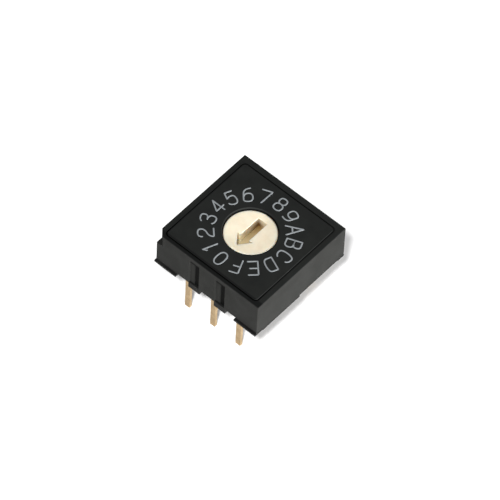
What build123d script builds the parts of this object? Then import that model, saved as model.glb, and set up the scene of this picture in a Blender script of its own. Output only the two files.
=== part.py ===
from build123d import *
import os
from math import atan2, copysign, degrees, hypot, radians, sin, sqrt, tan

os.makedirs("parts", exist_ok=True)

# Rotary dip switch, 16 positions, flush rotor, three pins a side.
# Origin on the rotor axis in the plane of the board, +Z up, pin rows along X.
# The arrow of the rotor points to -Y at rest, where position 0 is marked.

# Cover
row_to_front = 0.99
row_to_back = 1.19
plateau_height = 0.03
plateau_side_margin = 0.57
plateau_front_margin = 0.4
plateau_back_margin = 0.64
plateau_corner = 0.25
plateau_edge = 0.02
groove_width = 0.12
groove_depth = 0.14
top_thickness = 0.8
side_wall = 0.7
end_wall = 0.55
cavity_corner = 0.3
outer_edge = 0.06
fit_gap = 0.02
seam_gap = 0.03
index_chamfer = 0.6
index_depth = 1.25
channel_width = 1.0
channel_depth = 0.2
channel_top_drop = 0.45
channel_pitch = 2.54
nib_width = 0.8
nib_height = 0.2
nib_depth = 0.1
nib_rise = 0.5
wall_rise = 0.63
skirt_rise_front = 0.32
skirt_rise_back = 0.52
skirt_step = 0.0

# Base
floor_rise = 0.42
floor_thickness = 0.86
tab_width = 1.1
tab_setback = 0.05
corner_inset = 2.88
corner_length = 0.7
corner_lip = 0.2
rib_rise = 0.2
rib_inset = 0.07
rib_width = 0.6
hub_radius = 0.85
hub_height = 0.55
bearing_clearance = 0.05
post_width = 0.58
post_length = 0.75
post_wall_gap = 0.6
post_cap = 0.07
trough_end_margin = 0.28
trough_half_width = 0.28
trough_depth = 0.18
seal_recess = 0.04

# Terminals and their springs
pin_pitch = 2.54
pins_a_row = 3
row_half_spacing = 3.81
pin_width = 0.46
pin_thickness = 0.26
pin_length = 4.25
pin_tip_chamfer = 0.08
terminal_bend = 0.12
pad_width = 0.9
pad_reach = 0.76
pad_step = 0.2
strip_thickness = 0.1
strip_width = 0.36
strip_weld_inset = 0.11
strip_weld_length = 0.6
strip_bend = 0.25
strip_nose_bend = 0.18
strip_tail = 0.24
strip_tail_drop = 0.14
contact_gap = 0.02
contact_room = 0.51
nose_offset = 1.0

# Rotor
rotor_radius = 2.03
rotor_recess = 0.15
rotor_edge = 0.1
bore_gap = 0.08
bore_chamfer = 0.05
flange_radius = 3.55
flange_thickness = 0.75
flange_gap = 0.15
boss_radius = 0.55
boss_tip_chamfer = 0.15
boss_end_gap = 0.05
boss_floor = 0.36
disc_hub_radius = 0.72
code_bits = 4
positions = 2**code_bits
scallop_radius = 0.42
scallop_depth = 0.17
slot_depth = 1.0
slot_half_width = 0.43
slot_tail = 1.4
slot_neck = 0.62
slot_barb_half_width = 0.75
slot_barb_sweep = 0.02
slot_tip = 1.52

# Code disc
disc_thickness = 0.15
disc_inset = 0.25
disc_edge_land = 0.25
common_track = 1.25
track_land = 0.15

# Seal ring and detent springs
ring_section = 0.48
leaf_thickness = 0.12
leaf_inset = 0.075
leaf_side_room = 0.45
leaf_side_gap = 0.3
leaf_bend = 0.3
leaf_nose_bend = 0.3
leaf_nose_angle = 50.0
leaf_end_gap = 0.06

# Heights, from the board up through the stack inside
floor_top = floor_rise + floor_thickness
disc_bottom = floor_top + pin_thickness + contact_room
flange_bottom = disc_bottom + disc_thickness
flange_top = flange_bottom + flange_thickness
cavity_top = flange_top + flange_gap
total_height = cavity_top + top_thickness
rim_top = total_height - plateau_height
rotor_top = total_height - rotor_recess
bearing_bottom = floor_rise + boss_floor

# Widths, from the rotor's flange out past the detent springs, and from the rows of pins
leaf_line = flange_radius + leaf_side_room
cavity_half_width = leaf_line + leaf_side_gap
half_width = cavity_half_width + side_wall
body_front = row_half_spacing + row_to_front
body_back = row_half_spacing + row_to_back
cavity_front = body_front - end_wall
cavity_back = body_back - end_wall
post_end = cavity_front - post_wall_gap
trough_half_length = pin_pitch + pin_width / 2 + trough_end_margin

# Tracks of the code disc
disc_radius = flange_radius - disc_inset
outer_track = disc_radius - disc_edge_land
track_pitch = (outer_track - common_track) / code_bits
window_half_width = (track_pitch - track_land) / 2

ring_bottom = flange_top + fit_gap
ring_radius = rotor_radius + fit_gap + ring_section / 2
step_angle = 360 / positions
nib_bottom = floor_rise + nib_rise
nib_top = nib_bottom + nib_height


def block(x_range, y_range, z_range, mode=Mode.ADD):
    """A box between two corners, added to or cut from the part being made."""
    ranges = (x_range, y_range, z_range)
    with Locations(tuple(sum(limits) / 2 for limits in ranges)):
        Box(*[limits[1] - limits[0] for limits in ranges], mode=mode)


def both_sides(x_range):
    """The same stretch of X on the right and on the left."""
    return [x_range, (-x_range[1], -x_range[0])]


def ring_sector(inner_radius, outer_radius, start_angle, sweep_angle):
    with BuildSketch() as sector:
        with BuildLine():
            outer = CenterArc((0, 0), outer_radius, start_angle, sweep_angle)
            inner = CenterArc((0, 0), inner_radius, start_angle, sweep_angle)
            Line(outer @ 0, inner @ 0)
            Line(outer @ 1, inner @ 1)
        make_face()
    return sector.sketch


def bent_strip(plane, points, bend_radii, thickness, width):
    """A strip of sheet metal whose middle line runs through the points."""
    with BuildPart() as strip:
        with BuildSketch(plane):
            with BuildLine():
                FilletPolyline(*points, radius=bend_radii)
            trace(line_width=thickness)
        extrude(amount=width / 2, both=True)
    return strip


# Where the base shows: standoff tabs, corner lips and side ribs
tab_ranges = []
channel_ranges = []
for centre in (-channel_pitch / 2, channel_pitch / 2):
    tab_ranges.append((centre - tab_width / 2, centre + tab_width / 2))
    channel_ranges.append((centre - channel_width / 2, centre + channel_width / 2))
trough_edge = row_half_spacing + trough_half_width
front_tab_y = (tab_setback - body_front, -trough_edge)
back_tab_y = (trough_edge, body_back - tab_setback)
corner_ranges = both_sides((corner_inset, half_width))
front_corner_y = (-body_front - corner_lip, -body_front + corner_length)
back_corner_y = (body_back - corner_length, body_back)
rib_outer = half_width - rib_inset
rib_inner = cavity_half_width - rib_width

# Terminals: name, place in the row, side of the row, and its track from the axis
bit_tracks = [common_track + (bit + 1) * track_pitch for bit in range(code_bits)]
terminal_plan = [
    ("bit_1", -pin_pitch, -1, bit_tracks[3]),
    ("common_front", 0.0, -1, common_track),
    ("bit_2", pin_pitch, -1, bit_tracks[2]),
    ("bit_4", -pin_pitch, 1, bit_tracks[1]),
    ("common_back", 0.0, 1, common_track),
    ("bit_8", pin_pitch, 1, bit_tracks[0]),
]


def nose_point(pin_x, side, track):
    """Where a contact spring meets its track, on the pin's own side."""
    if pin_x == 0:
        return 0.0, side * track
    reach = sqrt(track**2 - nose_offset**2)
    return copysign(reach, pin_x), side * nose_offset


with BuildPart() as cover:
    body_middle = (body_back - body_front) / 2
    with BuildSketch(Plane.XY.offset(skirt_rise_front)):
        with Locations((0, body_middle)):
            Rectangle(2 * half_width, body_front + body_back)
    extrude(amount=rim_top - skirt_rise_front)
    fillet(cover.edges().filter_by(Axis.Z), outer_edge)
    fillet(cover.faces().sort_by(Axis.Z)[-1].edges(), outer_edge)
    plateau_front = body_front - plateau_front_margin
    plateau_back = body_back - plateau_back_margin
    plateau_width = 2 * (half_width - plateau_side_margin)
    plateau_length = plateau_front + plateau_back
    plateau_middle = (0, (plateau_back - plateau_front) / 2)
    with BuildSketch(Plane.XY.offset(rim_top - groove_depth)):
        with Locations(plateau_middle):
            groove_size = (plateau_width + 2 * groove_width, plateau_length + 2 * groove_width)
            RectangleRounded(*groove_size, plateau_corner + groove_width)
    extrude(amount=groove_depth, mode=Mode.SUBTRACT)
    with BuildSketch(Plane.XY.offset(rim_top - groove_depth)):
        with Locations(plateau_middle):
            RectangleRounded(plateau_width, plateau_length, plateau_corner)
    extrude(amount=groove_depth + plateau_height)
    chamfer(cover.faces().sort_by(Axis.Z)[-1].edges(), plateau_edge)
    with BuildSketch(Plane.XY.offset(skirt_rise_front)):
        with Locations((0, (cavity_back - cavity_front) / 2)):
            RectangleRounded(2 * cavity_half_width, cavity_front + cavity_back, cavity_corner)
    extrude(amount=cavity_top - skirt_rise_front, mode=Mode.SUBTRACT)
    # Bore with a fine chamfer, and the seat of the seal ring under it
    with BuildSketch(Plane.XY.offset(cavity_top)):
        Circle(rotor_radius + bore_gap)
    extrude(amount=top_thickness, mode=Mode.SUBTRACT)
    bore_rim = cover.edges().filter_by(GeomType.CIRCLE).group_by(Axis.Z)[-1].sort_by(Edge.length)[-1]
    chamfer(bore_rim, bore_chamfer)
    with BuildSketch(Plane.XY.offset(cavity_top)):
        Circle(ring_radius + ring_section / 2 + fit_gap)
    extrude(amount=ring_bottom + ring_section + fit_gap - cavity_top, mode=Mode.SUBTRACT)
    # Index corner, cut down to a small ledge
    with BuildSketch(Plane.XY.offset(total_height - index_depth)):
        with BuildLine():
            Polyline(
                (-half_width, -body_front),
                (-half_width + index_chamfer, -body_front),
                (-half_width, -body_front + index_chamfer),
                close=True,
            )
        make_face()
    extrude(amount=index_depth, mode=Mode.SUBTRACT)
    # The end walls stop above the board, and the skirts above the ribs of the base
    wall_z = (0, wall_rise)
    for y_range in ((-body_front, -cavity_front), (cavity_back, body_back)):
        block((-half_width, half_width), y_range, wall_z, mode=Mode.SUBTRACT)
    for x_range in corner_ranges:
        block(x_range, front_corner_y, wall_z, mode=Mode.SUBTRACT)
        block(x_range, back_corner_y, wall_z, mode=Mode.SUBTRACT)
    for x_range in both_sides((cavity_half_width, half_width)):
        block(x_range, (skirt_step, body_back), (0, skirt_rise_back), mode=Mode.SUBTRACT)
    # Channels that thin the snap arms, and the nibs inside them
    channel_z = (0, total_height - channel_top_drop)
    for x_range in channel_ranges:
        front_y = (-body_front, -body_front + channel_depth)
        back_y = (body_back - channel_depth, body_back)
        block(x_range, front_y, channel_z, mode=Mode.SUBTRACT)
        block(x_range, back_y, channel_z, mode=Mode.SUBTRACT)
    for centre in (-channel_pitch / 2, channel_pitch / 2):
        nib_x = (centre - nib_width / 2, centre + nib_width / 2)
        nib_z = (nib_bottom, nib_top)
        block(nib_x, (-cavity_front, -cavity_front + nib_depth), nib_z)
        block(nib_x, (cavity_back - nib_depth, cavity_back), nib_z)
cover.part.label = "cover"
export_step(cover.part, "parts/cover.step")

leaf_height = flange_thickness - 2 * leaf_inset
leaf_bottom = flange_bottom + leaf_inset
post_top = leaf_bottom + leaf_height + post_cap
floor_half_width = cavity_half_width - fit_gap
floor_front = cavity_front - fit_gap
floor_back = cavity_back - fit_gap

with BuildPart() as base:
    with BuildSketch(Plane.XY.offset(floor_rise)):
        with Locations((0, (floor_back - floor_front) / 2)):
            RectangleRounded(2 * floor_half_width, floor_front + floor_back, cavity_corner)
    extrude(amount=floor_thickness)
    lip_z = (floor_rise, wall_rise - seam_gap)
    for x_range in corner_ranges:
        block(x_range, front_corner_y, lip_z)
        block(x_range, back_corner_y, lip_z)
    for x_range in tab_ranges:
        block(x_range, front_tab_y, (0, wall_rise - seam_gap))
        block(x_range, back_tab_y, (0, wall_rise - seam_gap))
    # Side ribs: the front ones hang below the floor, the back ones lie level with it
    rib_front_y = (-body_front + corner_length, skirt_step)
    rib_back_y = (skirt_step, body_back - corner_length)
    for x_range in both_sides((rib_inner, rib_outer)):
        block(x_range, rib_front_y, (rib_rise, skirt_rise_front - seam_gap))
        block(x_range, rib_back_y, (floor_rise, skirt_rise_back - seam_gap))
    # The front ribs join the floor clear of its rounded corners
    web_y = (cavity_corner - floor_front + fit_gap, skirt_step - fit_gap)
    for x_range in both_sides((rib_inner, floor_half_width)):
        block(x_range, web_y, (rib_rise, floor_rise))
    # Bearing hub, and the posts that hold the detent springs
    with BuildSketch(Plane.XY.offset(floor_top)):
        Circle(hub_radius)
    extrude(amount=hub_height)
    with BuildSketch(Plane.XY.offset(bearing_bottom)):
        Circle(boss_radius + bearing_clearance)
    extrude(amount=floor_top + hub_height - bearing_bottom, mode=Mode.SUBTRACT)
    for x_range in both_sides((floor_half_width - post_width, floor_half_width)):
        for y_range in ((-post_end, post_length - post_end), (post_end - post_length, post_end)):
            block(x_range, y_range, (floor_top, post_top))
    leaf_slot = leaf_thickness / 2 + fit_gap
    slot_z = (leaf_bottom - fit_gap, post_top)
    slot_reach = post_end - leaf_end_gap
    for x_range in both_sides((leaf_line - leaf_slot, leaf_line + leaf_slot)):
        block(x_range, (-slot_reach, slot_reach), slot_z, mode=Mode.SUBTRACT)
    # Slots for the terminals, eased on the inside for their bend
    slot_half_x = pin_width / 2 + fit_gap
    slot_half_y = pin_thickness / 2 + fit_gap
    for _, pin_x, side, _ in terminal_plan:
        slot_x = (pin_x - slot_half_x, pin_x + slot_half_x)
        pin_y = side * row_half_spacing
        through_z = (0, floor_top)
        block(slot_x, (pin_y - slot_half_y, pin_y + slot_half_y), through_z, mode=Mode.SUBTRACT)
        ease_start = pin_y - side * slot_half_y
        ease_end = ease_start - side * terminal_bend
        ease_y = (min(ease_start, ease_end), max(ease_start, ease_end))
        ease_z = (floor_top - terminal_bend - fit_gap, floor_top)
        block(slot_x, ease_y, ease_z, mode=Mode.SUBTRACT)
    # Sealing troughs under the rows, and the notches for the cover's nibs
    trough_x = (-trough_half_length, trough_half_length)
    for side in (-1, 1):
        row_y = side * row_half_spacing
        trough_y = (row_y - trough_half_width, row_y + trough_half_width)
        trough_z = (0, floor_rise + trough_depth)
        block(trough_x, trough_y, trough_z, mode=Mode.SUBTRACT)
    notch_z = (nib_bottom - fit_gap, nib_top + fit_gap)
    notch_depth = nib_depth + fit_gap
    for centre in (-channel_pitch / 2, channel_pitch / 2):
        notch_x = (centre - nib_width / 2 - fit_gap, centre + nib_width / 2 + fit_gap)
        front_notch_y = (-cavity_front, -cavity_front + notch_depth)
        back_notch_y = (cavity_back - notch_depth, cavity_back)
        block(notch_x, front_notch_y, notch_z, mode=Mode.SUBTRACT)
        block(notch_x, back_notch_y, notch_z, mode=Mode.SUBTRACT)
base.part.label = "base"
export_step(base.part, "parts/base.step")


def code_windows(grow=0.0):
    """Stretches of the bit tracks where a contact is open, each side moved out by grow."""
    sectors = []
    for bit, track in enumerate(bit_tracks):
        pin_x, side = [row[1:3] for row in terminal_plan if row[0] == f"bit_{2**bit}"][0]
        nose_x, nose_y = nose_point(pin_x, side, track)
        nose_angle = degrees(atan2(nose_y, nose_x))
        grow_angle = degrees(grow / track)
        run = 2**bit
        for start in range(0, positions, 2 * run):
            inner = track - window_half_width - grow
            outer = track + window_half_width + grow
            edge_angle = nose_angle + (start - 0.5) * step_angle - grow_angle
            sectors.append(ring_sector(inner, outer, edge_angle, run * step_angle + 2 * grow_angle))
    return sectors


with BuildPart() as rotor:
    with BuildSketch(Plane.XZ):
        with BuildLine():
            Polyline(
                (0, bearing_bottom + boss_end_gap),
                (boss_radius, bearing_bottom + boss_end_gap),
                (boss_radius, disc_bottom),
                (disc_hub_radius, disc_bottom),
                (disc_hub_radius, flange_bottom),
                (flange_radius, flange_bottom),
                (flange_radius, flange_top),
                (rotor_radius, flange_top),
                (rotor_radius, rotor_top),
                (0, rotor_top),
                close=True,
            )
        make_face()
    revolve(axis=Axis.Z)
    fillet(rotor.faces().sort_by(Axis.Z)[-1].edges(), rotor_edge)
    chamfer(rotor.faces().sort_by(Axis.Z)[0].edges(), boss_tip_chamfer)
    # Star of the detent: one scallop for each position
    with BuildSketch(Plane.XY.offset(flange_bottom)):
        with PolarLocations(flange_radius - scallop_depth + scallop_radius, positions):
            Circle(scallop_radius)
    extrude(amount=flange_thickness, mode=Mode.SUBTRACT)
    # Arrow slot for a screwdriver
    with BuildSketch(Plane.XY.offset(rotor_top)):
        with BuildLine():
            Polyline(
                (-slot_half_width, slot_tail),
                (slot_half_width, slot_tail),
                (slot_half_width, -slot_neck),
                (slot_barb_half_width, slot_barb_sweep - slot_neck),
                (0, -slot_tip),
                (-slot_barb_half_width, slot_barb_sweep - slot_neck),
                (-slot_half_width, -slot_neck),
                close=True,
            )
        make_face()
    extrude(amount=-slot_depth, mode=Mode.SUBTRACT)
    # Pads that fill the windows of the code disc
    with BuildSketch(Plane.XY.offset(disc_bottom)):
        for window in code_windows(-fit_gap):
            add(window)
    extrude(amount=disc_thickness)
rotor.part.label = "rotor"
export_step(rotor.part, "parts/rotor.step")

with BuildPart() as code_disc:
    with BuildSketch(Plane.XY.offset(disc_bottom)):
        Circle(disc_radius)
        Circle(disc_hub_radius + fit_gap, mode=Mode.SUBTRACT)
        for window in code_windows():
            add(window, mode=Mode.SUBTRACT)
    extrude(amount=disc_thickness)
code_disc.part.label = "code_disc"
export_step(code_disc.part, "parts/code_disc.step")

with BuildPart() as seal_ring:
    with BuildSketch(Plane.XZ):
        with Locations((ring_radius, ring_bottom + ring_section / 2)):
            Circle(ring_section / 2)
    revolve(axis=Axis.Z)
seal_ring.part.label = "seal_ring"
export_step(seal_ring.part, "parts/seal_ring.step")

# Terminals: a pin bent over onto the floor, with a wider pad for its spring
pad_middle = floor_top + pin_thickness / 2
for name, pin_x, side, track in terminal_plan:
    toward_axis = Plane((pin_x, side * row_half_spacing, 0), x_dir=(0, -side, 0), z_dir=(-side, 0, 0))
    pin_points = [(0, -pin_length), (0, pad_middle), (pad_reach, pad_middle)]
    bend_radius = terminal_bend + pin_thickness / 2
    terminal = bent_strip(toward_axis, pin_points, bend_radius, pin_thickness, pin_width)
    with terminal:
        chamfer(terminal.faces().sort_by(Axis.Z)[0].edges(), pin_tip_chamfer)
        pad_x = (pin_x - pad_width / 2, pin_x + pad_width / 2)
        pad_start = row_half_spacing - terminal_bend - pin_thickness / 2 - pad_step
        pad_y = sorted((side * (row_half_spacing - pad_reach), side * pad_start))
        block(pad_x, pad_y, (floor_top, floor_top + pin_thickness))
    terminal.part.label = f"terminal_{name}"
    export_step(terminal.part, f"parts/terminal_{name}.step")

    # Contact spring: welded flat on the pad, rising to a rounded nose under its track
    nose_x, nose_y = nose_point(pin_x, side, track)
    weld_x, weld_y = pin_x, side * (row_half_spacing - strip_weld_inset)
    length = hypot(nose_x - weld_x, nose_y - weld_y)
    along = Vector((nose_x - weld_x) / length, (nose_y - weld_y) / length, 0)
    strip_plane = Plane((weld_x, weld_y, 0), x_dir=along, z_dir=along.cross(Vector(0, 0, 1)))
    weld_height = floor_top + pin_thickness + strip_thickness / 2
    nose_height = disc_bottom - contact_gap - strip_thickness / 2
    strip_points = [
        (0, weld_height),
        (strip_weld_length, weld_height),
        (length, nose_height),
        (length + strip_tail, nose_height - strip_tail_drop),
    ]
    bends = [strip_bend, strip_nose_bend]
    contact = bent_strip(strip_plane, strip_points, bends, strip_thickness, strip_width)
    contact.part.label = f"contact_{name}"
    export_step(contact.part, f"parts/contact_{name}.step")

# Detent springs: a leaf between two posts, with a rounded nose in a scallop of the star
nose_face = flange_radius - scallop_depth + fit_gap
half_nose = radians(leaf_nose_angle)
nose_corner = nose_face + leaf_thickness / 2 + leaf_nose_bend - leaf_nose_bend / sin(half_nose)
nose_half_length = (leaf_line - nose_corner) * tan(half_nose)
leaf_end = slot_reach - fit_gap
for name, side in (("left", -1), ("right", 1)):
    leaf_points = [
        (side * leaf_line, -leaf_end),
        (side * leaf_line, -nose_half_length),
        (side * nose_corner, 0),
        (side * leaf_line, nose_half_length),
        (side * leaf_line, leaf_end),
    ]
    bends = [leaf_bend, leaf_nose_bend, leaf_bend]
    leaf_plane = Plane.XY.offset(leaf_bottom + leaf_height / 2)
    leaf = bent_strip(leaf_plane, leaf_points, bends, leaf_thickness, leaf_height)
    leaf.part.label = f"detent_spring_{name}"
    export_step(leaf.part, f"parts/detent_spring_{name}.step")

# Cured resin that seals a row of pins from below
for name, side in (("front", -1), ("back", 1)):
    with BuildPart() as pin_seal:
        row_y = side * row_half_spacing
        seal_y = (row_y - trough_half_width, row_y + trough_half_width)
        seal_z = (floor_rise + seal_recess, floor_rise + trough_depth)
        block((-trough_half_length, trough_half_length), seal_y, seal_z)
        with Locations((0, row_y, seal_z[0])):
            with GridLocations(pin_pitch, 0, pins_a_row, 1):
                Box(pin_width, pin_thickness, 2 * trough_depth, mode=Mode.SUBTRACT)
    pin_seal.part.label = f"pin_seal_{name}"
    export_step(pin_seal.part, f"parts/pin_seal_{name}.step")
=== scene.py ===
import math

import bmesh
import bpy
from mathutils import Matrix, Vector


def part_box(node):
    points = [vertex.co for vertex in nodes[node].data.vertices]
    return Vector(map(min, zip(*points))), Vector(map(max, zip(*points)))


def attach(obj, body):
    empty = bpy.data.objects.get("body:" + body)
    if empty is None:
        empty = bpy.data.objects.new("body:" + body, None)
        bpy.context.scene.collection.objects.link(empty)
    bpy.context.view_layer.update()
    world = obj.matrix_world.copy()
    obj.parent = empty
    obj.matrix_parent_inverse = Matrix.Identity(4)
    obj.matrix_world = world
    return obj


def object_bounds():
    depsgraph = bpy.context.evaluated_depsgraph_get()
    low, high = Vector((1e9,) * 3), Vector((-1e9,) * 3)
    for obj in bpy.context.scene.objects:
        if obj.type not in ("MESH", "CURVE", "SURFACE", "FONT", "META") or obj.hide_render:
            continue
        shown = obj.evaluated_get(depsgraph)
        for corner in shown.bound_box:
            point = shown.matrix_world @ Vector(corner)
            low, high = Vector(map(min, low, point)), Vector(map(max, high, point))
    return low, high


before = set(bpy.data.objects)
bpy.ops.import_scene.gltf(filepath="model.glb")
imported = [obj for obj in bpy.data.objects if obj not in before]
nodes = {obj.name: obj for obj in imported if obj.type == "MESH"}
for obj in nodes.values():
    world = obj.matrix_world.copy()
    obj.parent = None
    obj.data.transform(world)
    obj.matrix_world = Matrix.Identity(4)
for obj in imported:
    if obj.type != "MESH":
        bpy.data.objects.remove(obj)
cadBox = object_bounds()
mm = 0.001
print("frame loaded:", len(nodes), "nodes")

# Camera
cameraSet = {
    "place": (0.131917, -0.162652, 0.296683),
    "turn": (35.3134, -1.8121, 41.5913),  # degrees
    "lens": 351.05,
    "sensor": 36.0,
    "near": 0.01,
    "far": 10.0,
}


def makeCamera(values):
    cameraData = bpy.data.cameras.new("studio_camera")
    cameraData.lens = values["lens"]
    cameraData.sensor_width = values["sensor"]
    cameraData.clip_start = values["near"]
    cameraData.clip_end = values["far"]
    camera = bpy.data.objects.new("studio_camera", cameraData)
    bpy.context.scene.collection.objects.link(camera)
    camera.location = values["place"]
    camera.rotation_euler = [math.radians(angle) for angle in values["turn"]]
    bpy.context.scene.camera = camera


makeCamera(cameraSet)
print("camera placed")

# Node helpers. Patterns read Object coordinates in metres, so a scale of 1000 is one turn a millimetre.
noiseSet = {
    "grit": 0.55,
    "cloudDetail": 4.0,
    "grainDetail": 2.0,
    "metalDetail": 3.0,
    "middle": (0.35, 0.65),  # where most of a noise field lies
    "wide": (0.3, 0.7),
}
rising = (0.0, 1.0)
falling = (1.0, 0.0)
mixSockets = {"FLOAT": (2, 3, 0), "RGBA": (6, 7, 2)}  # first input, second input, result


def newMaterial(name):
    material = bpy.data.materials.new(name)
    material.use_nodes = True
    tree = material.node_tree
    tree.nodes.clear()
    output = tree.nodes.new("ShaderNodeOutputMaterial")
    shader = tree.nodes.new("ShaderNodeBsdfPrincipled")
    tree.links.new(shader.outputs["BSDF"], output.inputs["Surface"])
    return material, tree, shader


def feed(tree, source, socket):  # a source is another node's output, a colour or a number
    if hasattr(source, "links"):
        tree.links.new(source, socket)
    elif isinstance(source, tuple):
        socket.default_value = (*source, 1.0)
    else:
        socket.default_value = source


def objectPlace(tree, stretch=(1, 1, 1)):
    place = tree.nodes.new("ShaderNodeTexCoord")
    mapping = tree.nodes.new("ShaderNodeMapping")
    mapping.inputs["Scale"].default_value = stretch
    tree.links.new(place.outputs["Object"], mapping.inputs["Vector"])
    return mapping.outputs["Vector"]


def splitPlace(tree, place):
    split = tree.nodes.new("ShaderNodeSeparateXYZ")
    tree.links.new(place, split.inputs["Vector"])
    return [split.outputs[axis] for axis in "XYZ"]


def noiseField(tree, place, scale, detail):
    field = tree.nodes.new("ShaderNodeTexNoise")
    field.inputs["Scale"].default_value = scale
    field.inputs["Detail"].default_value = detail
    field.inputs["Roughness"].default_value = noiseSet["grit"]
    tree.links.new(place, field.inputs["Vector"])
    return field.outputs["Fac"]


def spread(tree, factor, span, result=rising):
    ramp = tree.nodes.new("ShaderNodeMapRange")
    ramp.inputs["From Min"].default_value, ramp.inputs["From Max"].default_value = span
    ramp.inputs["To Min"].default_value, ramp.inputs["To Max"].default_value = result
    tree.links.new(factor, ramp.inputs["Value"])
    return ramp.outputs["Result"]


def mixed(tree, kind, factor, first, second):
    firstIn, secondIn, result = mixSockets[kind]
    mix = tree.nodes.new("ShaderNodeMix")
    mix.data_type = kind
    tree.links.new(factor, mix.inputs["Factor"])
    feed(tree, first, mix.inputs[firstIn])
    feed(tree, second, mix.inputs[secondIn])
    return mix.outputs[result]


def tint(tree, factor, first, second):
    return mixed(tree, "RGBA", factor, first, second)


def blend(tree, factor, first, second):
    return mixed(tree, "FLOAT", factor, first, second)


def worked(tree, operation, first, second):
    step = tree.nodes.new("ShaderNodeMath")
    step.operation = operation
    feed(tree, first, step.inputs[0])
    feed(tree, second, step.inputs[1])
    return step.outputs["Value"]


def times(tree, first, second):
    return worked(tree, "MULTIPLY", first, second)


def repeated(tree, across, start, pitch):
    return worked(tree, "FLOORED_MODULO", worked(tree, "SUBTRACT", across, start), pitch)


def insideOf(tree, across, walls, fade):
    low, high = walls
    fromLow = spread(tree, across, (low, low + fade))
    return times(tree, fromLow, spread(tree, across, (high - fade, high), falling))


def bumpFrom(tree, shader, height, values):
    bump = tree.nodes.new("ShaderNodeBump")
    bump.inputs["Strength"].default_value = values["bump"]
    bump.inputs["Distance"].default_value = values["bumpDepth"]
    tree.links.new(height, bump.inputs["Height"])
    tree.links.new(bump.outputs["Normal"], shader.inputs["Normal"])


# What a moulded finish has unless its own values say otherwise: no light passes under its skin
plainPlastic = {
    "gloss": 0.5,
    "under": 0.0,
    "underReach": (1.0, 0.85, 0.7),
    "underDepth": 0.0,
}


def makeMoulded(name, ownValues, addTones=None):
    values = plainPlastic | ownValues
    material, tree, shader = newMaterial(name)
    place = objectPlace(tree)
    cloud = noiseField(tree, place, values["cloudScale"], noiseSet["cloudDetail"])
    grain = noiseField(tree, place, values["grainScale"], noiseSet["grainDetail"])
    colour = tint(tree, spread(tree, cloud, noiseSet["middle"]), values["deep"], values["light"])
    rough = spread(tree, grain, noiseSet["wide"], values["rough"])
    if addTones:
        fields = {"place": place, "cloud": cloud, "grain": grain}
        colour, rough = addTones(tree, fields, colour, rough, values)
    tree.links.new(colour, shader.inputs["Base Color"])
    tree.links.new(rough, shader.inputs["Roughness"])
    shader.inputs["IOR"].default_value = values["ior"]
    shader.inputs["Specular IOR Level"].default_value = values["gloss"]
    shader.inputs["Subsurface Weight"].default_value = values["under"]
    shader.inputs["Subsurface Radius"].default_value = values["underReach"]
    shader.inputs["Subsurface Scale"].default_value = values["underDepth"]
    bumpFrom(tree, shader, grain, values)
    return material


def makeMetal(name, values):
    material, tree, shader = newMaterial(name)
    drawn = objectPlace(tree, values["drawn"])
    streak = noiseField(tree, drawn, values["streakScale"], noiseSet["metalDetail"])
    cloud = noiseField(tree, objectPlace(tree), values["cloudScale"], noiseSet["metalDetail"])
    colour = tint(tree, spread(tree, cloud, noiseSet["middle"]), values["deep"], values["light"])
    tree.links.new(colour, shader.inputs["Base Color"])
    rough = spread(tree, streak, noiseSet["wide"], values["rough"])
    tree.links.new(rough, shader.inputs["Roughness"])
    shader.inputs["Metallic"].default_value = values["metal"]
    bumpFrom(tree, shader, streak, values)
    return material


# Each finish is kept under the start of the names of the nodes that wear it
finishes = {}

coverLow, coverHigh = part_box("cover")
coverFinish = {
    "deep": (0.0138, 0.014, 0.0132),
    "light": (0.0169, 0.0171, 0.0163),
    "fade": 0.1 * mm,
    # Groove and bore walls near the top carry painted shade, near black and darkest at the front
    "grooveShade": (0.0015, 0.0015, 0.0015),
    "grooveBackShade": (0.008, 0.0083, 0.008),
    "grooveRun": (-4.0 * mm, -2.5 * mm),
    "grooveRise": (coverHigh.z - 1.0 * mm, coverHigh.z - 0.9 * mm),
    "insetX": (coverLow.x + 0.1 * mm, coverHigh.x - 0.1 * mm),
    "insetY": (coverLow.y + 0.1 * mm, coverHigh.y - 0.1 * mm),
    # Channels of the front wall, each with its +X half in the shade of the wall beside it
    "channel": (0.005, 0.0051, 0.0049),
    "channelX": (-2.0 * mm, 2.0 * mm),
    "channelY": (-4.79 * mm, -4.5 * mm),
    "channelFade": 0.01 * mm,
    "channelStart": -1.79 * mm,
    "channelPitch": 2.54 * mm,
    "channelLit": (-0.01 * mm, 0.52 * mm),
    "channelSoft": 0.06 * mm,
    # Top face, with painted shade: a darker strip along its front rim
    "face": (0.0135, 0.0143, 0.0137),
    "faceLight": (0.017, 0.018, 0.017),
    "faceRise": (coverHigh.z - 0.055 * mm, coverHigh.z - 0.035 * mm),
    "faceRough": (0.42, 0.54),
    "frontRimPaintedShade": (0.008, 0.0085, 0.0083),
    "frontStrip": (coverLow.y + 0.48 * mm, coverLow.y + 0.56 * mm),
    "cloudScale": 900, "grainScale": 16000, "rough": (0.62, 0.78), "ior": 1.5, "gloss": 0.02,
    "bump": 0.35, "bumpDepth": 0.004 * mm,
}


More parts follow.
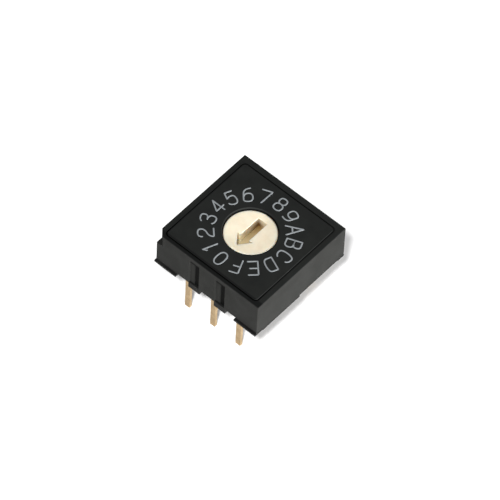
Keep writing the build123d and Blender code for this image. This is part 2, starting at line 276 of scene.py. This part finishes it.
def coverTones(tree, fields, colour, rough, values):
    x, y, z = splitPlace(tree, fields["place"])
    # Painted shade in the groove and bore: walls near the top, inside the outer edges, are tinted near
    # black, darkest at the front
    inset = insideOf(tree, x, values["insetX"], values["fade"])
    inset = times(tree, inset, insideOf(tree, y, values["insetY"], values["fade"]))
    inset = times(tree, inset, spread(tree, z, values["grooveRise"]))
    backward = spread(tree, y, values["grooveRun"])
    colour = tint(tree, inset, colour, tint(tree, backward, values["grooveShade"], values["grooveBackShade"]))
    channel = insideOf(tree, y, values["channelY"], values["channelFade"])
    channel = times(tree, channel, insideOf(tree, x, values["channelX"], values["fade"]))
    fromEdge = repeated(tree, x, values["channelStart"], values["channelPitch"])
    lit = insideOf(tree, fromEdge, values["channelLit"], values["channelSoft"])
    colour = tint(tree, channel, colour, tint(tree, lit, values["channel"], colour))
    onTop = spread(tree, z, values["faceRise"])
    faceCloud = spread(tree, fields["cloud"], noiseSet["wide"])
    faceTone = tint(tree, faceCloud, values["face"], values["faceLight"])
    # Painted shade: a darker strip along the front rim of the top face
    faceTone = tint(tree, spread(tree, y, values["frontStrip"], falling), faceTone, values["frontRimPaintedShade"])
    faceRough = spread(tree, fields["grain"], noiseSet["wide"], values["faceRough"])
    return tint(tree, onTop, colour, faceTone), blend(tree, onTop, rough, faceRough)


finishes["cover"] = makeMoulded("cover_black_plastic", coverFinish, coverTones)

baseFinish = {
    "deep": (0.008, 0.008, 0.008),
    "light": (0.013, 0.013, 0.0125),
    "cloudScale": 1100, "grainScale": 14000, "rough": (0.5, 0.62), "ior": 1.5, "gloss": 0.03,
    "bump": 0.4, "bumpDepth": 0.005 * mm,
}
finishes["base"] = makeMoulded("base_black_plastic", baseFinish)

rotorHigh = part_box("rotor")[1]
rotorFinish = {
    "deep": (0.8, 0.71, 0.55),
    "light": (0.86, 0.78, 0.62),
    # Painted light and shade in the slot: its walls are painted lighter towards the head of the arrow and
    # darker and browner towards the tail on the -X side, and its floor is painted darker, darkest at the
    # tail
    "wallHeadPaintedLight": (0.96, 0.85, 0.58),
    "wallTailPaintedShade": (0.19, 0.095, 0.025),
    "wallDrop": (rotorHigh.z - 0.05 * mm, rotorHigh.z - 0.7 * mm),
    "floorHeadPaintedShade": (0.54, 0.44, 0.26),
    "floorTailPaintedShade": (0.22, 0.135, 0.04),
    "floorDrop": (rotorHigh.z - 0.9 * mm, rotorHigh.z - 0.97 * mm),
    "headToTail": (-0.7 * mm, 1.2 * mm),
    "slotSides": (-0.3 * mm, 0.6 * mm),
    "cloudScale": 1500, "grainScale": 15000, "rough": (0.36, 0.5), "ior": 1.5,
    "under": 0.8, "underDepth": 0.45 * mm, "bump": 0.3, "bumpDepth": 0.004 * mm,
}


def slotPaintedLightShade(tree, fields, colour, rough, values):
    x, y, z = splitPlace(tree, fields["place"])
    # Painted light and shade: walls lighter at the head, walls and floor darker towards the tail and the
    # -X side
    shade = spread(tree, y, values["headToTail"])
    shade = times(tree, shade, spread(tree, x, values["slotSides"], falling))
    wall = tint(tree, shade, values["wallHeadPaintedLight"], values["wallTailPaintedShade"])
    colour = tint(tree, spread(tree, z, values["wallDrop"]), colour, wall)
    floor = tint(tree, shade, values["floorHeadPaintedShade"], values["floorTailPaintedShade"])
    return tint(tree, spread(tree, z, values["floorDrop"]), colour, floor), rough


finishes["rotor"] = makeMoulded("rotor_cream_plastic", rotorFinish, slotPaintedLightShade)

resinFinish = {
    "deep": (0.018, 0.017, 0.019),
    "light": (0.03, 0.028, 0.03),
    "cloudScale": 1800, "grainScale": 4000, "rough": (0.12, 0.22), "ior": 1.54,
    "bump": 0.3, "bumpDepth": 0.01 * mm,
}
finishes["pin_seal"] = makeMoulded("cured_resin", resinFinish)

rubberFinish = {
    "deep": (0.012, 0.012, 0.012),
    "light": (0.02, 0.02, 0.02),
    "cloudScale": 1400, "grainScale": 9000, "rough": (0.45, 0.6), "ior": 1.43,
    "bump": 0.2, "bumpDepth": 0.004 * mm,
}
finishes["seal_ring"] = makeMoulded("seal_rubber", rubberFinish)

pinFinish = {
    "deep": (0.25, 0.17, 0.082),
    "light": (0.325, 0.23, 0.118),
    "drawn": (1, 1, 0.08), "streakScale": 12000, "cloudScale": 1600,
    "metal": 0.75, "rough": (0.3, 0.46), "bump": 0.25, "bumpDepth": 0.003 * mm,
}
finishes["terminal"] = makeMetal("pin_plating", pinFinish)

contactFinish = {
    "deep": (0.72, 0.50, 0.20),
    "light": (0.84, 0.62, 0.28),
    "drawn": (1, 0.1, 1), "streakScale": 11000, "cloudScale": 1500,
    "metal": 1.0, "rough": (0.2, 0.34), "bump": 0.2, "bumpDepth": 0.002 * mm,
}
finishes["contact"] = makeMetal("contact_plating", contactFinish)

platingFinish = {
    "deep": (0.78, 0.56, 0.22),
    "light": (0.88, 0.67, 0.30),
    "drawn": (1, 1, 1), "streakScale": 9000, "cloudScale": 1300,
    "metal": 1.0, "rough": (0.16, 0.3), "bump": 0.15, "bumpDepth": 0.002 * mm,
}
finishes["code_disc"] = makeMetal("disc_plating", platingFinish)

springFinish = {
    "deep": (0.50, 0.50, 0.49),
    "light": (0.62, 0.62, 0.61),
    "drawn": (1, 0.1, 1), "streakScale": 12000, "cloudScale": 1400,
    "metal": 1.0, "rough": (0.2, 0.36), "bump": 0.25, "bumpDepth": 0.002 * mm,
}
finishes["detent_spring"] = makeMetal("spring_steel", springFinish)

for nodeName, node in nodes.items():
    finish = next(finishes[start] for start in finishes if nodeName.startswith(start))
    if not node.material_slots:
        node.data.materials.append(finish)
    for materialSlot in node.material_slots:
        materialSlot.material = finish
print("finishes given to", len(nodes), "nodes")

# Legend round the rotor: each character is a few strokes in a field one unit high and wide.
# A stroke is a row of control points, and a spline rounds every corner between its ends.
legendSet = {
    "circle": 3.33 * mm,
    "height": 1.2 * mm,
    "width": 0.7 * mm,
    "stroke": 0.115 * mm,
    "proud": 0.003 * mm,
    "firstAngle": -90.0,  # degrees, 0 stands at the tip of the arrow
    "stepAngle": -22.5,  # degrees, clockwise to the next character
    "splineOrder": 3,
    "curveSteps": 8,
    "roundSteps": 2,
    "endSides": 12,
    "endRings": 6,
}
legendStrokes = {
    "0": [[(0.5, 1), (0, 1), (0, 0), (1, 0), (1, 1), (0.5, 1)]],
    "1": [[(0.5, 0), (0.5, 1)], [(0.5, 1), (0.2, 0.78)]],
    "2": [[(0, 0.72), (0, 1), (1, 1), (1, 0.55), (0, 0.3), (0, 0)], [(0, 0), (1, 0)]],
    "3": [[(0, 0.85), (0.2, 1), (0.95, 1), (0.95, 0.54), (0.35, 0.54)],
          [(0.35, 0.54), (1, 0.54), (1, 0), (0.2, 0), (0, 0.16)]],
    "4": [[(0.75, 0), (0.75, 1)], [(0.75, 1), (0, 0.28)], [(0, 0.28), (1.12, 0.28)]],
    "5": [[(0.92, 1), (0.12, 1)], [(0.12, 1), (0.05, 0.52)],
          [(0.05, 0.52), (0.25, 0.66), (1, 0.66), (1, 0), (0.2, 0), (0, 0.16)]],
    "6": [[(0.8, 1), (0.05, 0.95), (0, 0.3), (0, 0), (1, 0), (1, 0.62), (0.1, 0.62), (0.02, 0.35)]],
    "7": [[(-0.06, 1), (1.06, 1)], [(1.06, 1), (0.32, 0)]],
    "8": [[(0.5, 0.53), (0.06, 0.53), (0.06, 1), (0.94, 1), (0.94, 0.53), (0.5, 0.53)],
          [(0.5, 0.53), (0, 0.53), (0, 0), (1, 0), (1, 0.53), (0.5, 0.53)]],
    "9": [[(0.2, 0), (0.95, 0.03), (1, 0.62), (1, 0.92), (0, 0.92), (0, 0.34), (0.9, 0.34), (0.98, 0.6)]],
    "A": [[(-0.08, -0.1), (0.5, 1)], [(0.5, 1), (1.08, -0.1)], [(0.13, 0.3), (0.87, 0.3)]],
    "B": [[(0, 0), (0, 1)], [(0, 1), (0.25, 1), (0.92, 1), (0.92, 0.53), (0.25, 0.53), (0, 0.53)],
          [(0, 0.53), (0.25, 0.53), (1, 0.53), (1, 0), (0.25, 0), (0, 0)]],
    "C": [[(1, 0.82), (0.85, 1), (0, 1), (0, 0), (0.85, 0), (1, 0.18)]],
    "D": [[(0, 0), (0, 1)], [(0, 1), (0.2, 1), (1, 1), (1, 0), (0.2, 0), (0, 0)]],
    "E": [[(1.05, 1), (0, 1)], [(0, 1), (0, 0)], [(0, 0), (1.05, 0)], [(0, 0.52), (0.86, 0.52)]],
    "F": [[(0.95, 1), (0, 1)], [(0, 1), (0, 0)], [(0, 0.5), (0.75, 0.5)]],
}


def inField(point, values):
    across, up = point
    return (across - 0.5) * values["width"], (up - 0.5) * values["height"], 0


def strokeMesh(points, values):
    flatCurve = bpy.data.curves.new("stroke", "CURVE")
    flatCurve.dimensions = "3D"
    flatCurve.resolution_u = values["curveSteps"]
    flatCurve.bevel_depth = values["stroke"] / 2
    flatCurve.bevel_resolution = values["roundSteps"]
    flatCurve.use_fill_caps = True
    line = flatCurve.splines.new("NURBS")
    line.points.add(len(points) - 1)
    for control, point in zip(line.points, points):
        control.co = (*inField(point, values), 1)
    line.order_u = min(values["splineOrder"], len(points))
    line.use_endpoint_u = True
    drawing = bpy.data.objects.new("stroke", flatCurve)
    mesh = bpy.data.meshes.new_from_object(drawing)
    bpy.data.objects.remove(drawing)
    return mesh


def glyphMesh(strokes, spot, values):
    glyph = bmesh.new()
    for points in strokes:
        glyph.from_mesh(strokeMesh(points, values))
        for point in (points[0], points[-1]):  # a ball rounds each end
            bmesh.ops.create_uvsphere(
                glyph, u_segments=values["endSides"], v_segments=values["endRings"],
                radius=values["stroke"] / 2, matrix=Matrix.Translation(inField(point, values)))
    bmesh.ops.transform(glyph, matrix=spot, verts=glyph.verts)
    mesh = bpy.data.meshes.new("glyph")
    glyph.to_mesh(mesh)
    glyph.free()
    return mesh


def makeLegend(strokes, values, plateauTop):
    ink = bmesh.new()
    flat = Matrix.Diagonal((1, 1, 2 * values["proud"] / values["stroke"], 1))
    reach = values["circle"]
    for count, character in enumerate(strokes):
        angle = math.radians(values["firstAngle"] + values["stepAngle"] * count)
        outward = Matrix.Translation((reach * math.cos(angle), reach * math.sin(angle), plateauTop))
        turn = Matrix.Rotation(angle - math.pi / 2, 4, "Z")
        mesh = glyphMesh(strokes[character], outward @ turn @ flat, values)
        ink.from_mesh(mesh)
        bpy.data.meshes.remove(mesh)
    bmesh.ops.recalc_face_normals(ink, faces=ink.faces)
    legendMesh = bpy.data.meshes.new("dial_legend")
    ink.to_mesh(legendMesh)
    ink.free()
    legend = bpy.data.objects.new("dial_legend", legendMesh)
    bpy.context.scene.collection.objects.link(legend)
    return legend


inkFinish = {
    "deep": (0.19, 0.205, 0.215),
    "light": (0.24, 0.255, 0.265),
    "cloudScale": 2500, "grainScale": 12000, "rough": (0.5, 0.65), "ior": 1.45,
    "bump": 0.3, "bumpDepth": 0.003 * mm,
}
legend = makeLegend(legendStrokes, legendSet, coverHigh.z)
legend.data.materials.append(makeMoulded("legend_ink", inkFinish))
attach(legend, "housing")
print("legend drawn:", len(legend.data.polygons), "faces")

# Floor and light
floorSet = {"size": 3.0, "colour": (0.8, 0.8, 0.8), "rough": 0.9, "glowColour": (1, 1, 1), "glow": 0.22}
lightSet = {
    "key": {"place": (0.564, -0.198, 0.036), "size": 0.07, "power": 14.5},
    "front": {"place": (0.219, -0.370, 0.675), "size": 0.06, "power": 7.0},
}
worldSet = {"colour": (1, 1, 1), "glow": 0.15}


def makeFloor(values, level):
    plane = bmesh.new()
    toLevel = Matrix.Translation((0, 0, level))
    bmesh.ops.create_grid(plane, x_segments=1, y_segments=1, size=values["size"], matrix=toLevel)
    floorMesh = bpy.data.meshes.new("floor")
    plane.to_mesh(floorMesh)
    plane.free()
    floor = bpy.data.objects.new("floor", floorMesh)
    bpy.context.scene.collection.objects.link(floor)
    material, tree, shader = newMaterial("floor_paper")
    feed(tree, values["colour"], shader.inputs["Base Color"])
    feed(tree, values["rough"], shader.inputs["Roughness"])
    feed(tree, values["glowColour"], shader.inputs["Emission Color"])
    feed(tree, values["glow"], shader.inputs["Emission Strength"])
    floorMesh.materials.append(material)


def makeLight(name, values):
    lampData = bpy.data.lights.new(name, "AREA")
    lampData.shape = "SQUARE"
    lampData.size = values["size"]
    lampData.energy = values["power"]
    lamp = bpy.data.objects.new(name, lampData)
    bpy.context.scene.collection.objects.link(lamp)
    aim = -Vector(values["place"])  # at the switch, which stands on the origin
    lamp.rotation_euler = aim.to_track_quat("-Z", "Y").to_euler()
    lamp.location = values["place"]


def makeWorld(values):
    world = bpy.data.worlds.new("studio")
    world.use_nodes = True
    background = world.node_tree.nodes["Background"]
    feed(world.node_tree, values["colour"], background.inputs["Color"])
    feed(world.node_tree, values["glow"], background.inputs["Strength"])
    bpy.context.scene.world = world
    bpy.context.scene.view_settings.view_transform = "Standard"


makeFloor(floorSet, cadBox[0].z)
for lightName, lightValues in lightSet.items():
    makeLight(lightName, lightValues)
makeWorld(worldSet)
print("floor and lights placed")
